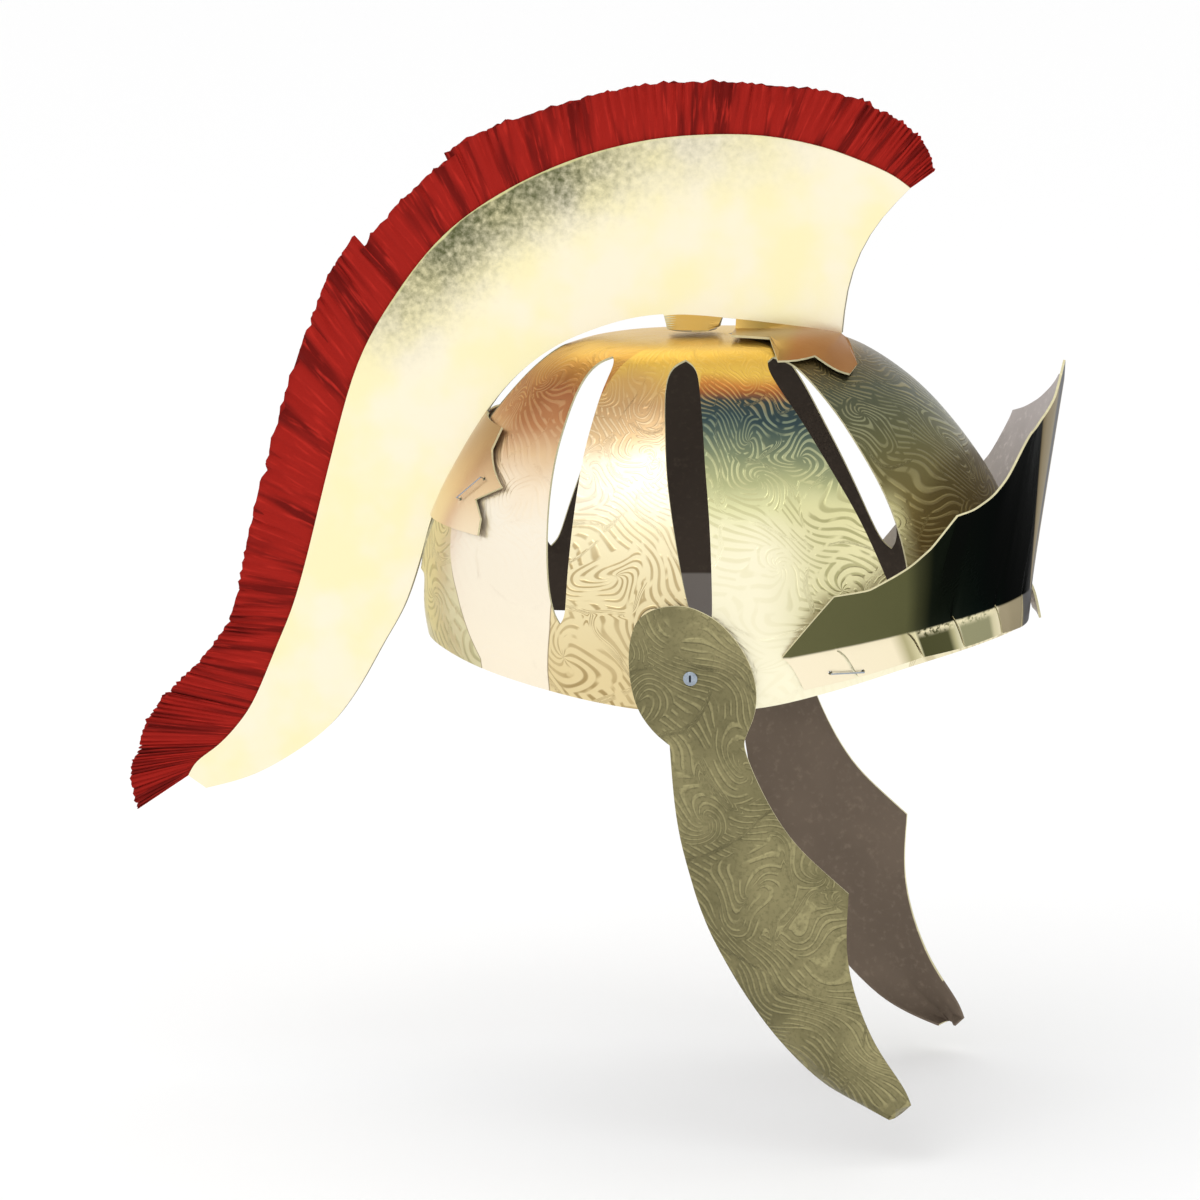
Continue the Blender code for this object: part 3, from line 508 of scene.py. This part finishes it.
def makeBoard(name, tone, settings):
    material, tree, shader, place = newMaterial(name + "Board")
    grain = addGrain(tree, place, settings["grain"])
    base = linear(*tone)
    darker = tuple(v * settings["darker"] for v in base[:3]) + (1.0,)
    paler = tuple(min(v * settings["paler"], 1.0) for v in base[:3]) + (1.0,)
    colour = blendColour(tree, fade(tree, grain["Clouds"], *settings["clouds"]), darker, base)
    colour = blendColour(tree, fade(tree, grain["Grain"], *settings["flecks"]), colour, paler)
    if name == "crown":  # greyer along the band, where the light gets in
        spot = split(tree, place.outputs["Object"])
        across = calc(tree, "ABSOLUTE", plus(tree, spot["X"], settings["bandMiddle"]))
        band = times(tree, fade(tree, spot["Z"], *settings["bandTop"]),
                     fade(tree, across, *settings["bandReach"]))
        colour = blendColour(tree, band, colour, linear(*settings["band"]))
    tree.links.new(colour, shader.inputs["Base Color"])
    shader.inputs["Roughness"].default_value = settings["gloss"]
    shader.inputs["Specular IOR Level"].default_value = settings["shine"]
    addBump(tree, shader, grain["Grain"], *settings["relief"])
    return material


# dark is painted shade in the pleats, light is painted highlight on the crinkles
crepeTones = {
    "dark": (112, 20, 16), "red": (158, 32, 25), "light": (182, 42, 33),
    "stretch": 0.08, "crinkle": 1500.0, "folds": 330.0, "pleatShadeRange": (0.34, 0.56),
    "crinkleHighlightRange": (0.52, 0.8), "gloss": 0.9, "shine": 0.1, "relief": (0.5, 0.0004),
}


def makeCrepe(settings):
    material, tree, shader, place = newMaterial("crepePaper")
    spot = split(tree, place.outputs["UV"])
    flat = addNode(tree, "ShaderNodeCombineXYZ", {
        0: spot["X"], 1: times(tree, spot["Y"], settings["stretch"])}).outputs[0]
    crinkle = addNode(tree, "ShaderNodeTexNoise", {
        "Vector": flat, "Scale": settings["crinkle"], "Detail": 3.0}, noise_dimensions="2D")
    folds = addNode(tree, "ShaderNodeTexNoise", {
        "Vector": flat, "Scale": settings["folds"], "Detail": 2.0}, noise_dimensions="2D")
    # painted shade along the pleats, then painted highlights on the crinkles
    colour = blendColour(tree, fade(tree, folds.outputs["Fac"], *settings["pleatShadeRange"]),
                         linear(*settings["dark"]), linear(*settings["red"]))
    colour = blendColour(tree, fade(tree, crinkle.outputs["Fac"], *settings["crinkleHighlightRange"]),
                         colour, linear(*settings["light"]))
    tree.links.new(colour, shader.inputs["Base Color"])
    shader.inputs["Roughness"].default_value = settings["gloss"]
    shader.inputs["Specular IOR Level"].default_value = settings["shine"]
    addBump(tree, shader, crinkle.outputs["Fac"], *settings["relief"])
    return material


steelTones = {  # the slit is the dark one in the right rivet's head
    "dark": (120, 130, 142), "light": (186, 196, 206), "slit": (34, 38, 44), "grain": 1600.0,
    "slitFace": (-0.0811, -0.0815), "slitCentre": (0.00208, 0.0020), "slitHalf": (0.00045, 0.0015),
    "slitEdge": 0.6, "gloss": 0.18, "cloudGloss": 0.2,
}


def makeSteel(settings):
    material, tree, shader, place = newMaterial("steel")
    grain = addGrain(tree, place, settings["grain"])
    colour = blendColour(tree, grain["Grain"], linear(*settings["dark"]),
                         linear(*settings["light"]))
    spot = split(tree, place.outputs["Object"])
    slit = fade(tree, spot["Y"], *settings["slitFace"])
    for axis, middle, half in zip("XZ", settings["slitCentre"], settings["slitHalf"]):
        away = calc(tree, "ABSOLUTE", minus(tree, spot[axis], middle))
        slit = times(tree, slit, fade(tree, away, half, half * settings["slitEdge"]))
    colour = blendColour(tree, slit, colour, linear(*settings["slit"]))
    tree.links.new(colour, shader.inputs["Base Color"])
    shader.inputs["Metallic"].default_value = 1.0
    rough = plus(tree, times(tree, grain["Clouds"], settings["cloudGloss"]), settings["gloss"])
    tree.links.new(rough, shader.inputs["Roughness"])
    return material


foils = {"crown": makeCrownFoil(crownTones), "guard": makeGuardFoil(guardTones),
         "crest": makeCrestFoil(crestTones), "visor": makeVisorFoil(visorTones),
         "tab": makeTabFoil(tabTones)}
boards = {name: makeBoard(name, tone, boardFinish) for name, tone in boardTones.items()}
crepePaper = makeCrepe(crepeTones)
steel = makeSteel(steelTones)
print("materials ready")


def newObject(name, bm, materials):
    mesh = bpy.data.meshes.new(name)
    bm.to_mesh(mesh)
    bm.free()
    for material in materials:
        mesh.materials.append(material)
    made = bpy.data.objects.new(name, mesh)
    bpy.context.scene.collection.objects.link(made)
    return made


# The crest's fringe is four lengths of crepe paper, pleated and overlapping, two sheets deep.

fringeSettings = {
    "edge": [  # the plates' outer edge and the fringe's, in the middle plane, front to tail
        (0.0620, 0.1558, 0.0703, 0.1620), (0.0560, 0.1600, 0.0665, 0.1720),
        (0.0460, 0.1643, 0.0570, 0.1796), (0.0310, 0.1692, 0.0410, 0.1870),
        (0.0110, 0.1723, 0.0140, 0.1898), (-0.0120, 0.1718, -0.0115, 0.1905),
        (-0.0330, 0.1686, -0.0360, 0.1878), (-0.0560, 0.1614, -0.0600, 0.1810),
        (-0.0790, 0.1498, -0.0875, 0.1708), (-0.0980, 0.1354, -0.1110, 0.1546),
        (-0.1140, 0.1154, -0.1310, 0.1336), (-0.1280, 0.0906, -0.1430, 0.1120),
        (-0.1380, 0.0555, -0.1580, 0.0680), (-0.1455, 0.0254, -0.1670, 0.0335),
        (-0.1510, 0.0062, -0.1725, 0.0070), (-0.1570, -0.0086, -0.1790, -0.0070),
        (-0.1648, -0.0272, -0.1920, -0.0215), (-0.1710, -0.0368, -0.2030, -0.0335),
        (-0.1780, -0.0444, -0.2080, -0.0470), (-0.1856, -0.0504, -0.2105, -0.0565),
        (-0.1888, -0.0556, -0.2080, -0.0690),
    ],
    "lengths": [  # from, to, depth at each end, sideways place, how deep it is tucked in
        (0.0, 8.46, 1.0, 1.0, 0.0, -0.45), (8.30, 9.96, 0.88, 0.80, -0.0004, -0.45),
        (9.92, 16.6, 1.0, 1.0, 0.0, -0.45), (16.4, 20.0, 1.0, 1.0, -0.0004, -0.3),
    ],
    "sheets": (-0.0003, 0.0003), "thickness": 0.00022, "gap": 0.00035,
    "pleatsPerRow": 7.5, "columns": 6, "rows": 9, "lean": 0.035, "tooth": 0.10, "notch": 0.45,
    "sway": 0.00077, "foldRoot": 0.15, "foldLeast": 0.6, "foldByTip": 0.5,
    "pinchedBelow": 0.02, "pinched": 0.08, "wave": (1.3, 0.8, 3.0), "waveSize": 0.0011,
    "paperStep": 0.0135, "paperHeight": 0.02, "paperJumps": (0.37, 0.19),
}


# Card pieces: each is a refined copy of its solid, with foil, board and cut edges told apart.

cardSettings = {  # lengths in metres, angles in degrees
    "thickness": 0.0008, "tolerance": 0.00014, "tab": 0.0019, "weld": 0.000004,
    "shortest": 0.000001, "sharp": 32.0, "bend": 12.0, "skew": 50.0, "edgeOn": 0.6,
    "outward": (0.55, 0.9), "unrolled": (0.088, 0.09, 0.78),
}

cardPieces = [  # piece, node, foil, the sharpest turn kept round, refining steps, slot, body
    ("crownCard", "crown", "crown", 66.0, 2, "foil_swirl", "helmet"),
    ("visorCard", "visor", "visor", 38.0, 2, "foil_plain", "helmet"),
    ("crestCardRight", "crest_plate_right", "crest", 38.0, 1, "foil_plain", "helmet"),
    ("crestCardLeft", "crest_plate_left", "crest", 38.0, 1, "foil_plain", "helmet"),
    ("guardCardRight", "cheek_guard_right", "guard", 38.0, 2, "foil_swirl", "guard_right"),
    ("guardCardLeft", "cheek_guard_left", "guard", 38.0, 2, "foil_swirl", "guard_left"),
]


def awayFrom(kind, face, settings):  # the way out of the card's foil side, near this face
    centre = face.calc_center_median()
    side = 1.0 if centre.y > 0 else -1.0
    if kind == "guard" or kind == "crest" and not isTab(face, settings):
        return Vector((0.0, side, 0.0))
    along, up = settings["outward"]
    lift = 0.0 if kind == "visor" else max(centre.z, 0.0) * up
    return Vector((centre.x * along, centre.y, lift)).normalized()


def isTab(face, settings):
    return max(abs(vert.co.y) for vert in face.verts) > settings["tab"]


def isCut(face, away, settings):
    thin = any(abs(edge.calc_length() - settings["thickness"]) < settings["tolerance"]
               for edge in face.edges)
    return thin and abs(face.normal.dot(away)) < settings["edgeOn"]


def sideOf(kind, face, settings):  # the material slot: foil, board, cut edge or folded tab
    away = awayFrom(kind, face, settings)
    if isCut(face, away, settings):
        return 2
    if face.normal.dot(away) < 0.0:
        return 1
    return 3 if kind == "crest" and isTab(face, settings) else 0


def fromEdge(spot):  # how far a point of the crest lies in from its plate's outer edge
    best = 1.0
    rows = [Vector((row[0], row[1])) for row in fringeSettings["edge"]]
    here = Vector((spot.x, spot.z))
    for before, after in zip(rows, rows[1:]):
        run = after - before
        share = min(max((here - before).dot(run) / run.length_squared, 0.0), 1.0)
        best = min(best, (here - before - run * share).length)
    return best


def markCreases(bm, turn, settings):  # edges and corners that stay sharp when the card is refined
    crease = bm.edges.layers.float.new("crease_edge")
    corner = bm.verts.layers.float.new("crease_vert")
    for edge in bm.edges:
        bent = len(edge.link_faces) == 2 and edge.calc_face_angle()
        if bent and bent > math.radians(settings["sharp"]):
            edge[crease] = 1.0
            edge.smooth = False
    for vert in bm.verts:
        rims = [edge.other_vert(vert).co - vert.co for edge in vert.link_edges
                if edge[crease] > 0.5]
        if len(rims) == 2 and min(rim.length for rim in rims) > settings["shortest"]:
            if rims[0].angle(-rims[1]) > math.radians(turn):
                vert[corner] = 1.0


def flatPlace(kind, spot, home, settings):  # where a point of the card lies once it is unrolled
    if kind == "guard":
        return spot.x, spot.z
    if kind == "crest":
        return spot.x, fromEdge(spot)
    around, top, oval = settings["unrolled"]
    angle = math.atan2(spot.y, spot.x)
    angle += math.tau * round((home - angle) / math.tau)
    return angle * around, spot.z + top - math.hypot(spot.x * oval, spot.y)


def dressCard(pieceName, node, kind, turn, levels, slot, body):
    settings = cardSettings
    bm = bmesh.new()
    bm.from_mesh(nodes[node].data)
    bmesh.ops.remove_doubles(bm, verts=bm.verts, dist=settings["weld"])
    bmesh.ops.join_triangles(bm, faces=bm.faces,
                             angle_face_threshold=math.radians(settings["bend"]),
                             angle_shape_threshold=math.radians(settings["skew"]))
    bm.normal_update()
    markCreases(bm, turn, settings)
    uv = bm.loops.layers.uv.new("UVMap")
    for face in bm.faces:
        face.smooth = True
        face.material_index = sideOf(kind, face, settings)
        middle = face.calc_center_median()
        home = math.atan2(middle.y, middle.x)
        for loop in face.loops:
            loop[uv].uv = flatPlace(kind, loop.vert.co, home, settings)
    sides = [foils[kind], boards[kind], boards["cut"]] + [foils["tab"]] * (kind == "crest")
    card = newObject(pieceName, bm, sides)
    refine = card.modifiers.new("refine", "SUBSURF")
    refine.levels = refine.render_levels = levels
    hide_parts(node)
    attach(card, body)
    return card


for row in cardPieces:
    dressCard(*row)
print("card pieces ready")


def edgeAt(rows, along):  # a smooth run through the rows of points
    low = min(int(along), len(rows) - 2)
    share = along - low
    before, after = rows[max(low - 1, 0)], rows[min(low + 2, len(rows) - 1)]
    out = []
    for p, q, r, s in zip(before, rows[low], rows[low + 1], after):
        out.append(0.5 * (2 * q + (r - p) * share + (2 * p - 5 * q + 4 * r - s) * share ** 2
                          + (3 * q - p - 3 * r + s) * share ** 3))
    return out


def addSheet(bm, uv, settings, index, sheetIndex):
    start, stop, deepStart, deepStop, aside, tucked = settings["lengths"][index]
    pleats = max(4, round((stop - start) * settings["pleatsPerRow"]))
    rag = random.Random(40 * index + sheetIndex)
    tips = [rag.uniform(0.0, 1.0) for _ in range(pleats + 2)]
    leans = [rag.uniform(-1.0, 1.0) for _ in range(pleats + 2)]
    made = bmesh.ops.create_grid(bm, x_segments=pleats * settings["columns"],
                                 y_segments=settings["rows"], size=0.5)
    root, jumps = settings["foldRoot"], settings["paperJumps"]
    acrossWave, upWave, apart = settings["wave"]
    places = {}
    for vert in made["verts"]:
        u, v = vert.co.x + 0.5, vert.co.y + 0.5
        at = min(int(u * pleats), pleats - 1)
        part = u * pleats - at
        lean = leans[at] * (1 - part) + leans[at + 1] * part
        along = min(max(start + u * (stop - start) + lean * settings["lean"] * v, 0.0),
                    len(settings["edge"]) - 1.001)
        px, pz, fx, fz = edgeAt(settings["edge"], along)
        saw = 1.0 - abs(2.0 * part - 1.0)
        deep = (deepStart + (deepStop - deepStart) * u) * (
            1.0 - settings["tooth"] * (tips[at] * saw + settings["notch"] * (1 - saw)))
        t = tucked + (deep - tucked) * v
        out = max(t, 0.0)
        fold = math.sin(math.tau * (part - 0.25)) * (root + (1.0 - root) * out) * (
            settings["foldLeast"] + settings["foldByTip"] * tips[at])
        if t <= settings["pinchedBelow"]:
            fold *= settings["pinched"]
        wave = noise.noise(Vector((along * acrossWave, v * upWave, apart * index)))
        y = settings["sheets"][sheetIndex] + aside + settings["sway"] * fold
        y += wave * settings["waveSize"] * out
        if t < 0.0:
            y = max(-settings["gap"], min(settings["gap"], y))
        vert.co = Vector((px + (fx - px) * t, y, pz + (fz - pz) * t))
        places[vert] = (along * settings["paperStep"] + jumps[0] * index + jumps[1] * sheetIndex,
                        settings["paperHeight"] * v)
    for face in {face for vert in made["verts"] for face in vert.link_faces}:
        face.smooth = True
        for loop in face.loops:
            loop[uv].uv = places[loop.vert]


def makeFringe(settings):
    bm = bmesh.new()
    uv = bm.loops.layers.uv.new("UVMap")
    for index in range(len(settings["lengths"])):
        for sheetIndex in range(len(settings["sheets"])):
            addSheet(bm, uv, settings, index, sheetIndex)
    fringe = newObject("crepeFringe", bm, [crepePaper])
    wall = fringe.modifiers.new("paper", "SOLIDIFY")
    wall.thickness = settings["thickness"]
    wall.offset = 0.0
    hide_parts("fringe")
    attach(fringe, "helmet")
    return fringe


makeFringe(fringeSettings)
print("fringe ready")

for nodeName in nodes:
    if nodeName.startswith(("rivet", "visor_staple", "crest_staple")):
        mesh = nodes[nodeName].data
        mesh.materials.clear()
        mesh.materials.append(steel)
print("fasteners ready")


# Floor, light and camera

roomSettings = {"floor": -0.162, "reach": 4.0, "tone": (253, 253, 253), "rough": 0.9,
                "shine": 0.1, "sky": 1.0, "skyTone": (1.0, 1.0, 1.0, 1.0)}


def makeRoom(settings):
    paper = bpy.data.materials.new("floorPaper")
    paper.use_nodes = True
    shader = paper.node_tree.nodes["Principled BSDF"]
    shader.inputs["Base Color"].default_value = linear(*settings["tone"])
    shader.inputs["Roughness"].default_value = settings["rough"]
    shader.inputs["Specular IOR Level"].default_value = settings["shine"]
    bm = bmesh.new()
    bmesh.ops.create_circle(bm, cap_ends=True, segments=48, radius=settings["reach"])
    bmesh.ops.translate(bm, verts=bm.verts, vec=(0.0, 0.0, settings["floor"]))
    floor = newObject("floor", bm, [paper])
    world = bpy.data.worlds.new("studio")
    world.use_nodes = True
    sky = world.node_tree.nodes["Background"]
    sky.inputs["Color"].default_value = settings["skyTone"]
    sky.inputs["Strength"].default_value = settings["sky"]
    bpy.context.scene.world = world


lights = [  # name, place, size, power
    ("keyLight", (-0.9, -1.6, 1.9), 1.4, 7.0),
    ("fillLight", (1.8, -1.2, 0.9), 1.2, 3.0),
]


def makeLights(rows):
    for name, place, size, power in rows:
        data = bpy.data.lights.new(name, "AREA")
        data.shape = "DISK"
        data.size = size
        data.energy = power
        lamp = bpy.data.objects.new(name, data)
        lamp.location = place
        lamp.rotation_mode = "QUATERNION"
        lamp.rotation_quaternion = (-Vector(place)).to_track_quat("-Z", "Y")
        bpy.context.scene.collection.objects.link(lamp)


cameraSettings = {"lens": 229.3, "sensor": 36.0, "clip": (0.05, 30.0),
                  "place": (0.4441, -2.5112, 0.5085), "turn": (79.0, 0.0, 11.0)}


def makeCamera(settings):
    data = bpy.data.cameras.new("camera")
    data.lens = settings["lens"]
    data.sensor_width = settings["sensor"]
    data.clip_start, data.clip_end = settings["clip"]
    camera = bpy.data.objects.new("camera", data)
    camera.location = settings["place"]
    camera.rotation_euler = [math.radians(angle) for angle in settings["turn"]]
    bpy.context.scene.collection.objects.link(camera)
    bpy.context.scene.camera = camera


makeRoom(roomSettings)
makeLights(lights)
makeCamera(cameraSettings)
bpy.context.scene.view_settings.view_transform = "Standard"
print("room ready")
